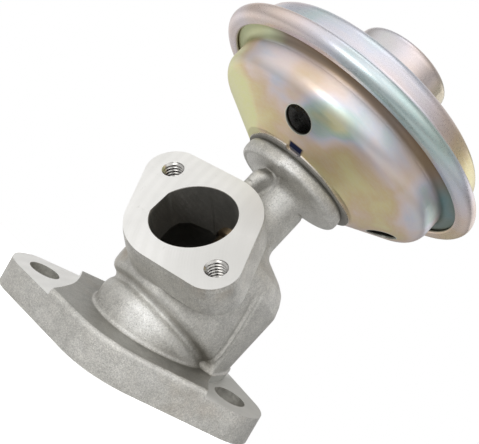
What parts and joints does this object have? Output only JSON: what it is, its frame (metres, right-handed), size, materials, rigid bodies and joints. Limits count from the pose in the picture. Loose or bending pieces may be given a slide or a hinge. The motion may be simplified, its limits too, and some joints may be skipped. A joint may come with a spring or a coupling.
{
  "type": "egr valve",
  "caption": "Vacuum-operated exhaust gas recirculation valve: cast body with tilted two-bolt flange, oblique two-hole port face and a round diaphragm actuator on a neck.",
  "frame": {"origin": "midpoint between the two bolt holes of the mounting flange, on its machined face", "axes": "+Z parallel to the valve stem, from the flange towards the vacuum actuator; the outlet face looks towards -Y and up; +X is to the right when that face is seen from the front"},
  "size_m": [0.0906, 0.0905, 0.1259],
  "materials": {
    "cast_aluminium": "as-cast, machined faces",
    "yellow_zinc_steel": "zinc plated, iridescent yellow passivation",
    "heat_resisting_steel": "turned",
    "bright_steel": "zinc plated",
    "spring_steel": "drawn wire",
    "guide_bronze": "machined",
    "graphite": "pressed graphite",
    "gasket_fibre": "fibre sheet",
    "diaphragm_rubber": "fabric-reinforced rubber"
  },
  "bodies": {
    "valve_body": {"valve_housing": "cast_aluminium", "valve_seat": "heat_resisting_steel", "guide_bush": "guide_bronze", "stem_seal": "graphite", "seal_retainer": "bright_steel", "actuator_gasket": "gasket_fibre", "shim_plate": "bright_steel", "lower_cup": "yellow_zinc_steel", "clamp_ring": "bright_steel", "screw_lock_washers": "bright_steel", "cup_screws": "bright_steel", "back_cover": "yellow_zinc_steel", "vacuum_nipple": "yellow_zinc_steel", "spring_seat": "bright_steel", "diaphragm": "diaphragm_rubber", "return_spring": "spring_steel"},
    "stem": {"valve_head": "heat_resisting_steel", "valve_stem": "heat_resisting_steel", "stem_washer": "bright_steel", "lower_plate": "bright_steel", "upper_plate": "bright_steel", "nut_lock_washer": "bright_steel", "stem_nut": "bright_steel"}
  },
  "joints": [
    {"name": "stem_lift", "type": "slide", "parent": "valve_body", "child": "stem", "axis": [0, 0, 1], "range_m": [0, 0.006], "stiffness_N_per_m": 1500, "springref_m": -0.01, "deforming": ["return_spring", "diaphragm"]}
  ]
}
